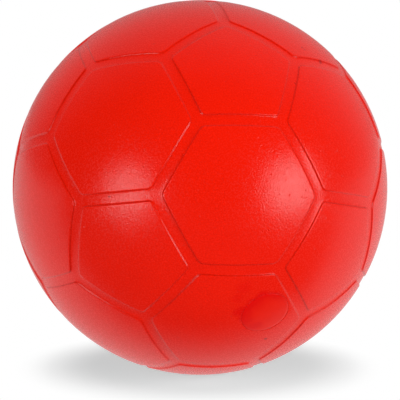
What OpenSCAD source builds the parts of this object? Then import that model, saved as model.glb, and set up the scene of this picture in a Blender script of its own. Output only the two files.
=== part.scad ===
// Soft play ball: a moulded foam ball whose tough skin carries the traditional
// pattern of 12 five-sided and 20 six-sided panels, parted by recessed channels.
// Origin at the middle of the ball, +Z up as the ball lies.

/* [Ball] */
// Diameter over the panels
ball_d = 180; // [150:1:220]
// Thickness of the skin at a panel
skin_t = 3; // [2.4:0.1:6]
// Gap all round between the skin and the foam core
core_gap = 0.2; // [0.1:0.05:0.5]

/* [Channels] */
// Width of a channel over its lips
channel_w = 6; // [4:0.1:9]
// Depth of a channel's floor below the panels
channel_depth = 0.6; // [0.5:0.1:1.4]
// Bevel along the lips of a channel
lip = 0.5; // [0.2:0.1:0.7]
// How far the round of a panel's corner stands back from the sharp corner
corner_cut = 0.5; // [0.2:0.1:1.5]

/* [Gate] */
// Diameter of the disc that covers the trimmed pour gate
patch_d = 22; // [18:0.5:23]
// Thickness of the disc
patch_t = 0.7; // [0.4:0.1:1]
// Depth of the disc's face below the panel around it
patch_inset = 0.3; // [0.1:0.05:0.5]
// Gap round the edge of the disc
patch_gap = 0.25; // [0.1:0.05:0.5]
// Diameter of the pour gate under the disc
gate_d = 14; // [8:0.5:16]
// Turn of the gate sideways from the front of the pattern, in degrees
gate_turn = 10.2; // [9:0.1:10.4]
// Drop of the gate below the middle of the pattern, in degrees
gate_drop = 15; // [14.8:0.1:17]

/* [Lie] */
// Turn of the pattern about X as the ball lies, in degrees
lie_x = 13.3; // [-180:0.1:180]
// Turn of the pattern about Y as the ball lies, in degrees
lie_y = 2.5; // [-180:0.1:180]
// Turn of the pattern about Z as the ball lies, in degrees
lie_z = 11.4; // [-180:0.1:180]

/* [Hidden] */

// Smoothness of the round surfaces
fine = 160;
// How far a cutting shape runs past what it cuts
overrun = 1;
// The same for a lip's bevel, as a share of the lip: so little that two cutters at a corner stay apart
past_share = 0.1;
// The poles of the plain spheres are turned away from the channels' corners
pole_turn = [17, 29, 41];

ball_r = ball_d / 2;
far = ball_r + overrun;
// Distance from a channel's middle plane to its upright wall
wall_off = channel_w / 2 - lip;
floor_r = ball_r - channel_depth;
cavity_r = ball_r - skin_t;
core_r = cavity_r - core_gap;
patch_top_r = ball_r - patch_inset;
seat_r = patch_top_r - patch_t - patch_gap;
gate_way = [sin(gate_turn) * cos(gate_drop), -cos(gate_turn) * cos(gate_drop), -sin(gate_drop)];

// The pattern: twelve five-fold directions, at the corners of an icosahedron
golden = (1 + sqrt(5)) / 2;
fives = [for (s = [-1, 1], t = [-1, 1])
  each [unit([0, s, t * golden]), unit([t * golden, 0, s]), unit([s, t * golden, 0])]];
count = len(fives);
// Share of the way from one five-fold direction to the next at which channels meet
meet_share = 1 / 3;

function unit(v) = v / norm(v);

// True where two of the five-fold directions are neighbours
function near(i, j) = i != j && fives[i] * fives[j] > 0;

// Where three channels meet, on the way from five-fold direction i to j
function meeting(i, j) = unit((1 - meet_share) * fives[i] + meet_share * fives[j]);

// Sets Z along a direction, and X toward another
module facing(z, toward) {
  x = unit(toward - (toward * z) * z);
  y = cross(z, x);
  multmatrix([[x.x, y.x, z.x, 0], [x.y, y.y, z.y, 0], [x.z, y.z, z.z, 0], [0, 0, 0, 1]]) children();
}

module as_it_lies() {
  rotate([lie_x, lie_y, lie_z]) children();
}

module plain_ball(r) {
  rotate(pole_turn) sphere(r = r, $fn = fine);
}

// The block on one side of a channel that runs round Z, up to the channel's upright wall
module beside_channel() {
  translate([-far, -far, wall_off]) cube([2 * far, 2 * far, far]);
}

// What the bevel takes off a panel's lip, beside a channel that runs round Z on both sides of X
module lip_bevel(reach) {
  past = past_share * lip;
  rotate([0, 0, -reach]) rotate_extrude(angle = 2 * reach, $fn = fine)
    polygon([[ball_r - lip - past, wall_off - past], [ball_r + past, wall_off - past],
      [ball_r + past, wall_off + lip + past]]);
}

// A panel with some number of sides, its middle along Z and a corner toward X.
// spread is the angle from its middle to where its channels meet.
module panel(sides, spread) {
  half = 180 / sides;
  apothem = atan(tan(spread) * cos(half));
  // angle from the middle to the sharp corner between two walls, and to where it is rounded off
  corner = spread - asin(wall_off / (norm([sin(apothem), cos(apothem) * cos(half)]) * ball_r));
  rounded = corner - asin(corner_cut / ball_r);
  // each bevel ends short of its neighbour's, where the corner is rounded off
  reach = asin(sin(corner) * sin(half)) - asin((1 + 2 * past_share) * lip * tan(half) / ball_r);
  outward = [sin(rounded), cos(rounded)];
  inward = [-cos(rounded), sin(rounded)];
  intersection() {
    difference() {
      intersection() {
        // the ball's seam is on the far side, so the panel's face is one clean patch
        rotate([0, 90, 0]) sphere(r = ball_r, $fn = fine);
        intersection_for (m = [0 : sides - 1]) along_side(m, half, apothem) beside_channel();
      }
      for (m = [0 : sides - 1]) along_side(m, half, apothem) lip_bevel(reach);
    }
    // the round of the corners, with the same bevel
    rotate_extrude($fn = fine)
      polygon([[0, 0], (ball_r - lip) * outward, far * outward + (lip + overrun) * inward, [0, far]]);
  }
}

// Sets Z square to the plane of a panel's side number m, and X from the ball's middle toward that side
module along_side(m, half, apothem) {
  rotate([0, 0, (2 * m + 1) * half]) rotate([0, apothem - 90, 0]) children();
}

module panels() {
  for (i = [0 : count - 1]) {
    corners = [for (j = [0 : count - 1]) if (near(i, j)) meeting(i, j)];
    facing(fives[i], corners[0]) panel(5, acos(fives[i] * corners[0]));
  }
  for (i = [0 : count - 1], j = [i : count - 1], k = [j : count - 1])
    if (near(i, j) && near(j, k) && near(i, k)) {
      middle = unit(fives[i] + fives[j] + fives[k]);
      facing(middle, meeting(i, j)) panel(6, acos(middle * meeting(i, j)));
    }
}

// A round slug along the gate, from inside the skin out to some radius
module gate_slug(d, out_r) {
  facing(gate_way, [0, 0, 1]) intersection() {
    cylinder(h = far, d = d, $fn = fine);
    rotate([0, 90, 0]) sphere(r = out_r, $fn = fine);
  }
}

// The tough outer skin, with its channels and the opening of the pour gate
module outer_skin() {
  color("red") as_it_lies() difference() {
    union() {
      plain_ball(floor_r);
      panels();
    }
    plain_ball(cavity_r);
    gate_slug(gate_d, far);
    difference() {
      gate_slug(patch_d, far);
      plain_ball(seat_r);
    }
  }
}

// The soft foam inside, with the stub of the pour gate that fills the skin's opening
module foam_core() {
  color("lightsalmon") as_it_lies() union() {
    plain_ball(core_r);
    gate_slug(gate_d - 2 * core_gap, seat_r - core_gap);
  }
}

// The thin disc that closes the trimmed gate, bent to the ball
module gate_patch() {
  color("firebrick") as_it_lies() difference() {
    gate_slug(patch_d - 2 * patch_gap, patch_top_r);
    plain_ball(patch_top_r - patch_t);
  }
}

outer_skin();
foam_core();
gate_patch();
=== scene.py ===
"""The looks of a moulded foam play ball: a tough red skin with recessed channels between
five- and six-sided panels, the soft foam inside it, and the disc over its pour gate."""
import math

import bmesh
import bpy
from mathutils import Euler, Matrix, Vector


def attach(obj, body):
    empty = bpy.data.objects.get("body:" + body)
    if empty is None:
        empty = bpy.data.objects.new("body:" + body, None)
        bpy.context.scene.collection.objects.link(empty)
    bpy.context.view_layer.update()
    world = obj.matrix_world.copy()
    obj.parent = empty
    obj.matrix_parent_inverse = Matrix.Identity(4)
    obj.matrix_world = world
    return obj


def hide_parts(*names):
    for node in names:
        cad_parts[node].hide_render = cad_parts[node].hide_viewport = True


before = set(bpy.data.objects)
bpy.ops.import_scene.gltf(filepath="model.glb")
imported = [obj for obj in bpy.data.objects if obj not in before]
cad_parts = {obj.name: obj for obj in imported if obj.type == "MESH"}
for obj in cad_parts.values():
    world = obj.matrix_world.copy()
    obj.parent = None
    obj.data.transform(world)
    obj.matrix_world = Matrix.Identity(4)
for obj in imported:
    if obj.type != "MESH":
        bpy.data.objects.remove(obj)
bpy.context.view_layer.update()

# ---- the ball's sizes, in metres, as in the CAD ----
MM = 0.001
BALL_R = 90 * MM
SKIN_T = 3 * MM
CORE_GAP = 0.2 * MM
CHANNEL_DEPTH = 0.6 * MM
PATCH_R = 11 * MM
GATE_R = 7 * MM
LIE = Euler([math.radians(a) for a in (13.3, 2.5, 11.4)], "XYZ")
GATE_TURN, GATE_DROP = math.radians(10.2), math.radians(15)
GATE = Vector((math.sin(GATE_TURN) * math.cos(GATE_DROP), -math.cos(GATE_TURN) * math.cos(GATE_DROP),
               -math.sin(GATE_DROP)))
GATE.rotate(LIE)

# ---- sizes of the dressed ball alone ----
# from a channel's middle to the foot of its wall, how far the wall leans out, and the ring inside a
# panel's lip: past 3.6 mm in all, the ring would fold over at the panel's corners
CHANNEL_FOOT = 2.25 * MM
WALL_RUN = 0.55 * MM
PANEL_RING = 0.7 * MM
# the rounds of a panel's lip, of the foot of its wall, and of the disc's edge and its seat's rim
LIP_ROUND = 0.3 * MM
FOOT_ROUND = 0.35 * MM
RIM_ROUND = 0.08 * MM
# the touch-up fills the disc's joint almost to nothing
PATCH_GAP = 0.04 * MM
PATCH_INSET = 0.08 * MM
PATCH_T = 0.8 * MM
# the flat bottom of the disc's seat, as far from the ball's middle as clears the bent disc
SEAT_Z = BALL_R - 1.9 * MM
# where the drills for the gate start and end: inside the cavity and outside the ball
DRILL_START = BALL_R - 1.5 * SKIN_T
DRILL_END = 1.1 * BALL_R
ROUND_SIDES = 96


# ---- working on a piece ----
def take_up(piece):
    """Makes a piece the active one and the only one selected."""
    bpy.ops.object.select_all(action="DESELECT")
    piece.select_set(True)
    bpy.context.view_layer.objects.active = piece


def edit(piece):
    take_up(piece)
    bpy.ops.object.mode_set(mode="EDIT")


def done():
    bpy.ops.object.mode_set(mode="OBJECT")


def pick(piece, kind, test):
    """Selects the vertices, edges or faces that pass a test, and nothing else."""
    bpy.ops.mesh.select_mode(type=kind)
    bpy.ops.mesh.select_all(action="DESELECT")
    mesh = bmesh.from_edit_mesh(piece.data)
    for part in {"VERT": mesh.verts, "EDGE": mesh.edges, "FACE": mesh.faces}[kind]:
        if test(part):
            part.select_set(True)
    mesh.select_flush_mode()
    bmesh.update_edit_mesh(piece.data)


def from_middle(share):
    """Moves the selection nearer to the ball's middle or further from it."""
    bpy.ops.transform.resize(value=(share, share, share), center_override=(0, 0, 0))


def round_edges(offset, segments):
    bpy.ops.mesh.bevel(affect="EDGES", offset=offset, segments=segments, profile=0.5, clamp_overlap=False)


def cut_corners(percent, segments):
    """Cuts every corner off, a part of the way along its edges: flat, or round in several segments."""
    bpy.ops.mesh.select_all(action="SELECT")
    bpy.ops.mesh.bevel(affect="VERTICES", offset_type="PERCENT", offset_pct=percent, segments=segments,
                       profile=0.5, clamp_overlap=False)


def apply_modifier(piece, kind, **settings):
    take_up(piece)
    made = piece.modifiers.new(kind.lower(), kind)
    for name, value in settings.items():
        setattr(made, name, value)
    bpy.ops.object.modifier_apply(modifier=made.name)


def apply_turn(piece, turn):
    take_up(piece)
    piece.rotation_mode = "XYZ"
    piece.rotation_euler = turn
    bpy.ops.object.transform_apply(location=True, rotation=True, scale=True)


def along_gate():
    return GATE.to_track_quat("Z", "Y").to_euler()


# ---- the skin: one moulded shell, with a channel between every two panels ----
THIRD = 100 / 3
CORNER_PERCENT = 8.5
CORNER_CUTS = 4
SIDE_CUTS = 15
SPOKE_CUTS = 7
LONG_EDGE = 10 * MM
WALL_CUTS = 3
CAVITY_CUTS = 5
SKIN_PARTS = ("channel", "panel", "wall")
GOLDEN = (1 + math.sqrt(5)) / 2
# how near a point lies to the seat's rim, sideways and in depth
RIM_ASIDE = 0.02 * MM
RIM_BELOW = 0.1 * MM
RIM_CUTS = 2


def inset_panels(skin, width):
    """Insets each panel by a width on the ball: on its flat face that is a little less."""
    for sides in (5, 6):
        pick(skin, "FACE", lambda f: len(f.verts) == sides * (CORNER_CUTS + 1))
        face = next(f for f in bmesh.from_edit_mesh(skin.data).faces if f.select)
        height = face.calc_center_median().length
        middle = max(face.edges, key=lambda e: e.calc_length())
        to_side = (middle.verts[0].co + middle.verts[1].co).length / 2
        bpy.ops.mesh.inset(thickness=width * to_side ** 2 / (BALL_R * height), use_even_offset=True,
                           use_individual=True)


def mark_panels(skin, part):
    pick(skin, "FACE", lambda f: len(f.verts) >= 5 * (CORNER_CUTS + 1))
    skin.active_material_index = SKIN_PARTS.index(part)
    bpy.ops.object.material_slot_assign()


def pick_part(skin, part):
    pick(skin, "FACE", lambda f: f.material_index == SKIN_PARTS.index(part))


def moulded_skin():
    bpy.ops.object.select_all(action="DESELECT")
    bpy.ops.mesh.primitive_ico_sphere_add(subdivisions=1, radius=BALL_R)
    skin = bpy.context.object
    skin.name = "moulded_skin"
    for name in SKIN_PARTS:
        skin.data.materials.append(bpy.data.materials.new(name))
    edit(skin)
    # 12 five-sided and 20 six-sided faces, then the round of their corners
    cut_corners(THIRD, 1)
    cut_corners(CORNER_PERCENT, CORNER_CUTS)
    # channel floor, its walls, then a narrow ring inside each panel that leaves room for its lip
    inset_panels(skin, CHANNEL_FOOT)
    mark_panels(skin, "wall")
    inset_panels(skin, WALL_RUN)
    mark_panels(skin, "panel")
    inset_panels(skin, PANEL_RING)
    # enough points along each side, and from each panel's middle to its sides, to follow the ball
    pick(skin, "EDGE", lambda e: e.calc_length() > LONG_EDGE)
    bpy.ops.mesh.subdivide(number_cuts=SIDE_CUTS)
    pick(skin, "FACE", lambda f: len(f.verts) > 4 * CORNER_CUTS)
    bpy.ops.mesh.poke()
    pick(skin, "EDGE", lambda e: e.calc_length() > LONG_EDGE)
    bpy.ops.mesh.subdivide(number_cuts=SPOKE_CUTS)
    done()
    apply_modifier(skin, "CAST", cast_type="SPHERE", factor=1, radius=BALL_R - CHANNEL_DEPTH,
                   use_radius_as_size=True)
    edit(skin)
    # raise the panels, so that the walls slope, then round their lips and the foot of the walls
    pick_part(skin, "panel")
    from_middle(BALL_R / (BALL_R - CHANNEL_DEPTH))
    bpy.ops.mesh.region_to_loop()
    round_edges(LIP_ROUND, WALL_CUTS)
    pick_part(skin, "channel")
    bpy.ops.mesh.region_to_loop()
    round_edges(FOOT_ROUND, WALL_CUTS)
    done()
    # from how Blender stands this shape to how the CAD stands it, then as the ball lies
    apply_turn(skin, Euler((0, 0, math.radians(-90))))
    apply_turn(skin, Euler((-math.atan(1 / GOLDEN), 0, 0)))
    apply_turn(skin, LIE)
    hollow_out(skin)
    return skin


def cut_away(skin, tool):
    apply_modifier(skin, "BOOLEAN", operation="DIFFERENCE", solver="EXACT", object=tool)
    bpy.data.objects.remove(tool)


def gate_drill(radius, inner, outer):
    """A round bar along the gate, between two distances from the ball's middle."""
    bpy.ops.object.select_all(action="DESELECT")
    bpy.ops.mesh.primitive_cylinder_add(vertices=ROUND_SIDES, radius=radius, depth=outer - inner,
                                        location=GATE * (inner + outer) / 2, rotation=along_gate())
    return bpy.context.object


def hollow_out(skin):
    """Takes out the space for the foam, the gate's hole and the seat of its disc."""
    bpy.ops.object.select_all(action="DESELECT")
    bpy.ops.mesh.primitive_ico_sphere_add(subdivisions=CAVITY_CUTS, radius=BALL_R - SKIN_T)
    cut_away(skin, bpy.context.object)
    cut_away(skin, gate_drill(GATE_R, DRILL_START, BALL_R))
    cut_away(skin, gate_drill(PATCH_R, SEAT_Z, DRILL_END))
    # break the sharp rim of the seat
    edit(skin)
    pick(skin, "EDGE", lambda e: all(on_rim(v.co) for v in e.verts))
    round_edges(RIM_ROUND, RIM_CUTS)
    done()


def on_rim(place):
    from_axis = (place - GATE * place.dot(GATE)).length
    return abs(from_axis - PATCH_R) < RIM_ASIDE and place.length > BALL_R - RIM_BELOW


# ---- the disc over the gate: thin, bent to the ball, its edge rounded; the deeper red along its edge is touch-up and painted shade ----
DISC_RINGS = 8
SHARP = math.radians(60)


def gate_disc():
    top = BALL_R - PATCH_INSET
    rim = PATCH_R - PATCH_GAP
    bpy.ops.object.select_all(action="DESELECT")
    bpy.ops.mesh.primitive_circle_add(vertices=ROUND_SIDES, radius=rim, fill_type="NGON",
                                      location=(0, 0, math.sqrt(top ** 2 - rim ** 2)))
    bpy.ops.object.transform_apply(location=True)
    disc = bpy.context.object
    disc.name = "gate_disc"
    edit(disc)
    # rings round its middle, so that it can bend
    for _ in range(DISC_RINGS):
        pick(disc, "FACE", lambda f: len(f.verts) > 4)
        bpy.ops.mesh.inset(thickness=rim / (DISC_RINGS + 1))
    pick(disc, "FACE", lambda f: len(f.verts) > 4)
    bpy.ops.mesh.poke()
    done()
    apply_modifier(disc, "CAST", cast_type="SPHERE", factor=1, radius=top, use_radius_as_size=True)
    apply_modifier(disc, "SOLIDIFY", thickness=PATCH_T, offset=-1)
    edit(disc)
    pick(disc, "EDGE", lambda e: e.calc_face_angle(0) > SHARP)
    round_edges(RIM_ROUND, RIM_CUTS)
    done()
    apply_turn(disc, along_gate())
    return disc


# ---- the foam inside, with the stub that fills the gate ----
FOAM_RINGS = 64
# more edges than these meet at the sphere's pole alone
POLE_EDGES = 10
HAIR = 0.01 * MM


def foam_inside():
    core = BALL_R - SKIN_T - CORE_GAP
    stub = GATE_R - CORE_GAP
    stub_top = SEAT_Z - CORE_GAP
    bpy.ops.object.select_all(action="DESELECT")
    bpy.ops.mesh.primitive_uv_sphere_add(segments=ROUND_SIDES, ring_count=FOAM_RINGS, radius=core)
    foam = bpy.context.object
    foam.name = "poured_foam"
    edit(foam)
    # draw the ring round the pole out to the stub's width, then raise the stub
    pick(foam, "VERT", lambda v: v.co.z > 0 and v.co.xy.length < stub and len(v.link_edges) < POLE_EDGES)
    ring = max(v.co.xy.length for v in bmesh.from_edit_mesh(foam.data).verts if v.select)
    bpy.ops.transform.resize(value=(stub / ring, stub / ring, 1), center_override=(0, 0, 0))
    pick(foam, "FACE", lambda f: all(v.co.z > 0 and v.co.xy.length < stub + HAIR for v in f.verts))
    bpy.ops.mesh.extrude_region()
    bpy.ops.transform.translate(value=(0, 0, stub_top - core))
    bpy.ops.transform.resize(value=(1, 1, 0), center_override=(0, 0, stub_top))
    done()
    apply_turn(foam, along_gate())
    return foam


# ---- materials ----
def linear(hex_colour):
    """An sRGB hex value as Blender's linear colour."""
    shares = [int(hex_colour[k:k + 2], 16) / 255 for k in (0, 2, 4)]
    return [c / 12.92 if c <= 0.04045 else ((c + 0.055) / 1.055) ** 2.4 for c in shares] + [1]


def add(material, kind, settings=None, links=None):
    """Adds a node, with its settings by property or input name, and what its inputs are linked to."""
    made = material.node_tree.nodes.new(kind)
    for name, value in (settings or {}).items():
        if isinstance(name, str) and hasattr(made, name):
            setattr(made, name, value)
        else:
            made.inputs[name].default_value = value
    for name, source in (links or {}).items():
        material.node_tree.links.new(source, made.inputs[name])
    return made


def new_material(name):
    material = bpy.data.materials.new(name)
    material.use_nodes = True
    material.node_tree.nodes.clear()
    return material


def finish_material(material, shader, shader_output="BSDF"):
    add(material, "ShaderNodeOutputMaterial", links={"Surface": shader.outputs[shader_output]})
    return material


def per(size):
    """The scale of a pattern whose grains are a size across."""
    return 1 / size


def noise(material, place, size, detail):
    return add(material, "ShaderNodeTexNoise", {"Scale": per(size), "Detail": detail}, {"Vector": place})


def raised(material, height, depth, over=None):
    """How a surface faces where a pattern raises it by up to a depth, on top of another bump or none."""
    links = {"Height": height}
    if over is not None:
        links["Normal"] = over
    return add(material, "ShaderNodeBump", {"Strength": 1.0, "Distance": depth}, links).outputs["Normal"]


def within(material, place, middle, full, none, share=1.0):
    """A share up to a distance from a point, falling smoothly to 0 at a greater one, all in mm."""
    away = add(material, "ShaderNodeVectorMath", {"operation": "DISTANCE", 1: [c * MM for c in middle]},
               {0: place})
    return add(material, "ShaderNodeMapRange",
               {"interpolation_type": "SMOOTHSTEP", "From Min": full * MM, "From Max": none * MM,
                "To Min": share, "To Max": 0.0}, {"Value": away.outputs["Value"]}).outputs["Result"]


def most(material, shares):
    """The greatest of some shares."""
    found = shares[0]
    for share in shares[1:]:
        found = add(material, "ShaderNodeMath", {"operation": "MAXIMUM"}, {0: found, 1: share}).outputs[0]
    return found


def spots(material, place, marks, share=1.0):
    """A share in the middle of each soft round mark, 0 outside them all. A mark is its middle and
    its radius, in mm."""
    core, fringe = 0.4, 1.3
    return most(material, [within(material, place, middle, core * radius, fringe * radius, share)
                           for *middle, radius in marks])


def ragged(material, place, size, reach):
    """Object coordinates pushed about by a noise, so that what is drawn with them has a ragged edge."""
    pushes = noise(material, place, size, 2)
    push = add(material, "ShaderNodeVectorMath", {"operation": "SUBTRACT", 1: (0.5, 0.5, 0.5)},
               {0: pushes.outputs["Color"]})
    push = add(material, "ShaderNodeVectorMath", {"operation": "SCALE", "Scale": 2 * reach},
               {0: push.outputs[0]})
    moved = add(material, "ShaderNodeVectorMath", {"operation": "ADD"}, {0: place, 1: push.outputs[0]})
    return moved.outputs[0]


# the skin's red, through and through, with its faint clouds
SKIN_RED, CLOUD_RED, CLOUD_SIZE = "F01A04", "E81603", 22 * MM
POLYURETHANE_IOR = 1.45
# the specks of its sheen: from where to where in the noise, and their roughness there
SPECK_SIZE = 0.7 * MM
SPECK_FROM, SPECK_TO = 0.35, 0.65
BRIGHT, DULL = 0.12, 0.36
# what stands out of its surface or into it: how far across, and how high or deep
GRAIN_SIZE, GRAIN_HEIGHT = 0.8 * MM, 0.1 * MM
SWELL_SIZE, SWELL_HEIGHT = 7 * MM, 0.05 * MM
# a pit's radius is a share of its cell
CELL_SIZE, PIT_SHARE, PIT_DEPTH = 4 * MM, 0.12, 0.12 * MM
# the disc's blotches, and its even sheen
BLOTCH_RED, BLOTCH_SIZE, BLOTCH_HEIGHT = "E81402", 5 * MM, 0.1 * MM
DISC_ROUGHNESS = 0.25
# the deeper red along the disc's upper left is painted shade, as of a dent there, mixed with the touch-up's
# own red; it fades toward the lower right, and the touch-up is smeared past the disc's edge
TOUCH_UP_AND_SHADE_RED = "E20300"
BRUSH_SIZE, BRUSH_REACH = 4 * MM, 2.2 * MM
DISC_MIDDLE, DISC_FULL, DISC_END = (28.3, -74.4, -42.0), 10, 13
LIGHTER_MIDDLE, LIGHTER_FULL, LIGHTER_END = (30.8, -72.0, -44.2), 6.5, 13
CRESCENT_SHARE, SMEAR_SHARE, FAINT_SHARE = 0.95, 0.8075, 0.38
SMEARS = ((17.1, -78.4, -40.8, 3.0), (24.4, -71.4, -49.1, 3.2), (21.0, -74.6, -45.8, 2.2))
FAINT_SMEARS = ((18.6, -83.2, -28.9, 3.4), (16.5, -81.4, -34.0, 3.0))
# small scuffs that play has left in the skin
NICKS = ((54.9, -32.0, 63.7, 1.3), (46.2, -32.7, 70.0, 0.6), (47.3, -32.7, 69.2, 0.6),
         (41.7, -56.4, 56.4, 0.8), (-38.6, -80.6, 10.5, 0.7), (29.3, -62.8, -57.5, 0.8))
NICK_RED, NICK_SIZE, NICK_REACH = "A80200", 2 * MM, 0.8 * MM
# painted shade on the channels' walls: full up to one distance from the middle of a wall's height, none past
# another
WALL_SHADE_RED, WALL_SHADE_SHARE = "B00A02", 0.3
WALL_SHADE_FULL, WALL_SHADE_END = 0.12 * MM, 0.26 * MM


def touch_up_and_shade(material, place, colour):
    """A colour with a deeper red over it: painted shade mixed with the touch-up's red in a crescent along
    the disc's upper left, and the touch-up's smears past its edge.
    """
    place = ragged(material, place, BRUSH_SIZE, BRUSH_REACH)
    # painted shade: a deeper red crescent along the disc's upper left, mixed with the touch-up's own red
    shade_crescent = add(material, "ShaderNodeMath", {"operation": "SUBTRACT", "use_clamp": True},
                   {0: within(material, place, DISC_MIDDLE, DISC_FULL, DISC_END, CRESCENT_SHARE),
                    1: within(material, place, LIGHTER_MIDDLE, LIGHTER_FULL, LIGHTER_END, CRESCENT_SHARE)}).outputs[0]
    share = most(material, (shade_crescent, spots(material, place, SMEARS, SMEAR_SHARE),
                            spots(material, place, FAINT_SMEARS, FAINT_SHARE)))
    return add(material, "ShaderNodeMix", {"data_type": "RGBA", 7: linear(TOUCH_UP_AND_SHADE_RED)},
               {0: share, 6: colour}).outputs[2]


def satin_skin():
    """Integral-skin polyurethane, moulded against a blasted steel mould and coloured right through:
    an even red with a soft sheen, a fine grain, and a few pits where bubbles met the mould."""
    m = new_material("polyurethane_skin_satin")
    place = add(m, "ShaderNodeTexCoord").outputs["Object"]
    cloud = noise(m, place, CLOUD_SIZE, 3)
    colour = add(m, "ShaderNodeMix", {"data_type": "RGBA", 6: linear(SKIN_RED), 7: linear(CLOUD_RED)},
                 {0: cloud.outputs["Fac"]})
    # painted shade: the walls of the channels, told by their depth, are drawn a darker red where they lie in
    # shade
    height = add(m, "ShaderNodeVectorMath", {"operation": "LENGTH"}, {0: place})
    off_wall = add(m, "ShaderNodeMath", {"operation": "SUBTRACT", 1: BALL_R - CHANNEL_DEPTH / 2},
                   {0: height.outputs["Value"]})
    off_wall = add(m, "ShaderNodeMath", {"operation": "ABSOLUTE"}, {0: off_wall.outputs[0]})
    painted_wall_shade = add(m, "ShaderNodeMapRange",
                {"From Min": WALL_SHADE_FULL, "From Max": WALL_SHADE_END, "To Min": WALL_SHADE_SHARE, "To Max": 0.0},
                {"Value": off_wall.outputs[0]})
    walls = add(m, "ShaderNodeMix", {"data_type": "RGBA", 7: linear(WALL_SHADE_RED)},
                {0: painted_wall_shade.outputs["Result"], 6: colour.outputs[2]})
    # the touch-up's smears round the gate, and painted shade in a crescent along the disc's upper left
    touched_and_shaded = touch_up_and_shade(m, place, walls.outputs[2])
    nicked = spots(m, ragged(m, place, NICK_SIZE, NICK_REACH), NICKS)
    colour = add(m, "ShaderNodeMix", {"data_type": "RGBA", 7: linear(NICK_RED)}, {0: nicked, 6: touched_and_shaded})
    # the blasting left duller and brighter specks side by side, drawn coarse enough to show
    speck = noise(m, place, SPECK_SIZE, 1)
    dullness = add(m, "ShaderNodeMapRange",
                   {"From Min": SPECK_FROM, "From Max": SPECK_TO, "To Min": BRIGHT, "To Max": DULL},
                   {"Value": speck.outputs["Fac"]})
    # the grain, a slow swell, and a small round pit in the middle of each cell
    cells = add(m, "ShaderNodeTexVoronoi", {"Scale": per(CELL_SIZE)}, {"Vector": place})
    pit = add(m, "ShaderNodeMapRange",
              {"From Min": 0.0, "From Max": PIT_SHARE, "To Min": -1.0, "To Max": 0.0},
              {"Value": cells.outputs["Distance"]})
    way = raised(m, noise(m, place, GRAIN_SIZE, 2).outputs["Fac"], GRAIN_HEIGHT)
    way = raised(m, noise(m, place, SWELL_SIZE, 1).outputs["Fac"], SWELL_HEIGHT, way)
    way = raised(m, pit.outputs["Result"], PIT_DEPTH, way)
    shader = add(m, "ShaderNodeBsdfPrincipled", {"IOR": POLYURETHANE_IOR},
                 {"Base Color": colour.outputs[2], "Roughness": dullness.outputs["Result"], "Normal": way})
    return finish_material(m, shader)


def touched_up_disc():
    """The same polyurethane, brushed over the gate after it was trimmed: the skin's red and grain under a
    deeper red, partly the touch-up's own and partly painted shade along its upper left, with an even sheen
    and the soft unevenness of a brush."""
    m = new_material("polyurethane_touch_up_brushed")
    place = add(m, "ShaderNodeTexCoord").outputs["Object"]
    blotch = noise(m, place, BLOTCH_SIZE, 3)
    colour = add(m, "ShaderNodeMix", {"data_type": "RGBA", 6: linear(SKIN_RED), 7: linear(BLOTCH_RED)},
                 {0: blotch.outputs["Fac"]})
    way = raised(m, noise(m, place, GRAIN_SIZE, 2).outputs["Fac"], GRAIN_HEIGHT)
    way = raised(m, blotch.outputs["Fac"], BLOTCH_HEIGHT, way)
    shader = add(m, "ShaderNodeBsdfPrincipled", {"Roughness": DISC_ROUGHNESS, "IOR": POLYURETHANE_IOR},
                 {"Base Color": touch_up_and_shade(m, place, colour.outputs[2]), "Normal": way})
    return finish_material(m, shader)


FOAM_RED, FOAM_PALE, FOAM_IOR, FOAM_ROUGHNESS = "B8402F", "E8907C", 1.5, 0.9
BUBBLE_SIZE, BUBBLE_DEPTH = 1.2 * MM, 0.3 * MM


def open_foam():
    """Flexible polyurethane foam as poured: pale red, matt, with round open cells."""
    m = new_material("polyurethane_foam_open_cell")
    place = add(m, "ShaderNodeTexCoord").outputs["Object"]
    bubbles = add(m, "ShaderNodeTexVoronoi", {"Scale": per(BUBBLE_SIZE)}, {"Vector": place})
    colour = add(m, "ShaderNodeMix", {"data_type": "RGBA", 6: linear(FOAM_RED), 7: linear(FOAM_PALE)},
                 {0: bubbles.outputs["Distance"]})
    way = raised(m, bubbles.outputs["Distance"], BUBBLE_DEPTH)
    shader = add(m, "ShaderNodeBsdfPrincipled", {"Roughness": FOAM_ROUGHNESS, "IOR": FOAM_IOR},
                 {"Base Color": colour.outputs[2], "Normal": way})
    return finish_material(m, shader)


# the floor's white and its own glow under the shadow, and the oval round the ball where the shadow
# ends: its depth as a share of its width, and from where to where it fades
FLOOR_WHITE, FLOOR_GLOW = 1.4, 0.315
SHADE_OVAL, SHADE_FULL, SHADE_END = 0.65, 50 * MM, 95 * MM
# what the ball finds of the floor: its dim paint, and its glow in front and beneath, from where to where
FLOOR_DIM = 0.05
GLOW_FRONT, GLOW_UNDER = 0.05, 0.62
FRONT_Y, UNDER_Y = -90 * MM, -40 * MM


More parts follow.
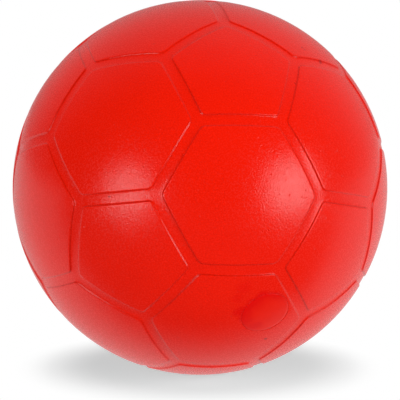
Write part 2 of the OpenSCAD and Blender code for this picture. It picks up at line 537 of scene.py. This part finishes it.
def pale_floor():
    """Painted white studio floor: seen by the camera as white, with the ball's soft shadow on it.
    The ball finds it glowing beneath and behind itself, a painted light that fills the ball's underside, and
    dim in front."""
    m = new_material("studio_floor_white_paint")
    matt = add(m, "ShaderNodeBsdfDiffuse", {"Color": [FLOOR_WHITE] * 3 + [1]})
    glow = add(m, "ShaderNodeEmission", {"Strength": FLOOR_GLOW})
    near = add(m, "ShaderNodeAddShader", links={0: matt.outputs[0], 1: glow.outputs[0]})
    far = add(m, "ShaderNodeEmission", {"Strength": 1.0})
    place = add(m, "ShaderNodeTexCoord").outputs["Object"]
    oval = add(m, "ShaderNodeVectorMath", {"operation": "MULTIPLY", 1: (1, 1 / SHADE_OVAL, 1)}, {0: place})
    away = add(m, "ShaderNodeVectorMath", {"operation": "LENGTH"}, {0: oval.outputs[0]})
    fade = add(m, "ShaderNodeMapRange",
               {"interpolation_type": "SMOOTHSTEP", "From Min": SHADE_FULL, "From Max": SHADE_END},
               {"Value": away.outputs["Value"]})
    white = add(m, "ShaderNodeMixShader",
                links={0: fade.outputs["Result"], 1: near.outputs[0], 2: far.outputs[0]})
    path = add(m, "ShaderNodeLightPath")
    seen = most(m, (path.outputs["Is Camera Ray"], path.outputs["Is Transmission Ray"]))
    depth = add(m, "ShaderNodeSeparateXYZ", links={0: place})
    # painted light: the floor glows beneath and behind the ball, to light its underside
    under = add(m, "ShaderNodeMapRange",
                {"interpolation_type": "SMOOTHSTEP", "From Min": FRONT_Y, "From Max": UNDER_Y,
                 "To Min": GLOW_FRONT, "To Max": GLOW_UNDER}, {"Value": depth.outputs["Y"]})
    pale_glow = add(m, "ShaderNodeEmission", links={"Strength": under.outputs["Result"]})
    dim = add(m, "ShaderNodeBsdfDiffuse", {"Color": [FLOOR_DIM] * 3 + [1]})
    found = add(m, "ShaderNodeAddShader", links={0: dim.outputs[0], 1: pale_glow.outputs[0]})
    mixed = add(m, "ShaderNodeMixShader", links={0: seen, 1: found.outputs[0], 2: white.outputs[0]})
    return finish_material(m, mixed, "Shader")


SMOOTH = math.radians(50)


def dress(piece, material, node):
    piece.data.materials.clear()
    piece.data.materials.append(material)
    piece.data.polygons.foreach_set("material_index", [0] * len(piece.data.polygons))
    take_up(piece)
    bpy.ops.object.shade_smooth_by_angle(angle=SMOOTH)
    # the floor takes no red light from the ball, so its shadow stays grey
    piece.visible_diffuse = False
    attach(piece, "root")
    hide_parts(node)


dress(moulded_skin(), satin_skin(), "outer_skin")
dress(gate_disc(), touched_up_disc(), "gate_patch")
foam = foam_inside()
dress(foam, open_foam(), "foam_core")

# ---- stage, light and camera ----
# each light's name, the way to it, its distance and width in metres, its power in watts, and whether
# it leaves a highlight
LIGHTS = (
    ("left_soft_light", (-0.65, -0.755, 0.075), 1.2, 0.58, 3.5, True),
    ("right_soft_light", (0.81, -0.58, 0.08), 1.2, 0.68, 5.2, True),
    ("overhead_fill_light", (0, 0, 1), 1.5, 0.8, 12.6, False),
    ("left_fill_light", (-0.766, -0.643, 0.05), 1.3, 1.0, 6.1, False),
    ("right_fill_light", (0.839, -0.545, 0.05), 1.3, 1.0, 7.8, False),
    ("low_fill_light", (0, -0.866, -0.5), 1.3, 1.0, 3.5, False),
)
# the light in the shade, in front of the ball and behind it
FILL_FRONT, FILL_BACK, FILL_REACH = 0.02, 0.35, 0.8
# what the ball's sheen finds: the dim and the pale of the room, and the way to its palest part
ROOM_DIM, ROOM_PALE = 0.03, 0.40
ROOM_WAY, ROOM_START = (0.15, 0.84, 0.5), 0.05
WHITE = [1, 1, 1, 1]
FLOOR_ACROSS = 20
# the camera's lens in mm, its distance in radii of the ball, and its height in degrees
LENS, CAMERA_RADII, CAMERA_RISE = 121.95, 7.3, math.radians(10)
# the ball sits a little above the middle of the picture
AIM = Vector((0, 0, -6.05 * MM))


def soft_light(name, way, distance, across, power, glare):
    """A round soft light that points at the ball's middle from some way off. One without glare
    fills the shade and leaves no highlight: no ray that leaves the ball finds it."""
    lamp = bpy.data.lights.new(name, "AREA")
    lamp.shape = "DISK"
    lamp.size = across
    lamp.energy = power
    light = bpy.data.objects.new(name, lamp)
    light.location = Vector(way).normalized() * distance
    light.rotation_euler = light.location.to_track_quat("Z", "Y").to_euler()
    light.visible_camera = False
    light.visible_glossy = glare
    lamp.cycles.use_multiple_importance_sampling = glare
    bpy.context.scene.collection.objects.link(light)


def surround():
    """A pale room, white where the camera sees it. The ball's shade and its sheen find it dim in
    front and pale behind."""
    world = bpy.data.worlds.new("white_surround")
    bpy.context.scene.world = world
    world.use_nodes = True
    world.node_tree.nodes.clear()
    # only rays that leave a surface find the room, so that each kind of ray finds its own brightness
    world.cycles.sampling_method = "NONE"
    path = add(world, "ShaderNodeLightPath")
    white = add(world, "ShaderNodeBackground", {"Color": WHITE, "Strength": 1.0})
    place = add(world, "ShaderNodeTexCoord").outputs["Generated"]
    way = add(world, "ShaderNodeSeparateXYZ", links={0: place})
    shade = add(world, "ShaderNodeMapRange",
                {"interpolation_type": "SMOOTHSTEP", "From Min": 0.0, "From Max": FILL_REACH,
                 "To Min": FILL_FRONT, "To Max": FILL_BACK}, {"Value": way.outputs["Y"]})
    fill = add(world, "ShaderNodeBackground", {"Color": WHITE}, {"Strength": shade.outputs["Result"]})
    back = add(world, "ShaderNodeVectorMath", {"operation": "DOT_PRODUCT", 1: ROOM_WAY}, {0: place})
    room = add(world, "ShaderNodeMapRange",
               {"interpolation_type": "SMOOTHSTEP", "From Min": ROOM_START, "From Max": 1.0,
                "To Min": ROOM_DIM, "To Max": ROOM_PALE}, {"Value": back.outputs["Value"]})
    sheen = add(world, "ShaderNodeBackground", {"Color": WHITE}, {"Strength": room.outputs["Result"]})
    lit = add(world, "ShaderNodeMixShader",
              links={0: path.outputs["Is Glossy Ray"], 1: fill.outputs[0], 2: sheen.outputs[0]})
    seen = most(world, (path.outputs["Is Camera Ray"], path.outputs["Is Transmission Ray"]))
    mixed = add(world, "ShaderNodeMixShader", links={0: seen, 1: lit.outputs[0], 2: white.outputs[0]})
    add(world, "ShaderNodeOutputWorld", links={"Surface": mixed.outputs[0]})


for light in LIGHTS:
    soft_light(*light)
surround()
bpy.ops.mesh.primitive_plane_add(size=FLOOR_ACROSS, location=(0, 0, -BALL_R))
floor = bpy.context.object
floor.name = "floor"
floor.data.materials.append(pale_floor())
# the low fill light reaches the ball through the floor
floor.visible_shadow = False

camera_data = bpy.data.cameras.new("camera")
camera = bpy.data.objects.new("camera", camera_data)
bpy.context.scene.collection.objects.link(camera)
camera_data.lens = LENS
camera.location = Vector((0, -math.cos(CAMERA_RISE), math.sin(CAMERA_RISE))) * CAMERA_RADII * BALL_R
camera.rotation_euler = (AIM - camera.location).to_track_quat("-Z", "Y").to_euler()
bpy.context.scene.camera = camera
bpy.context.scene.view_settings.view_transform = "Standard"
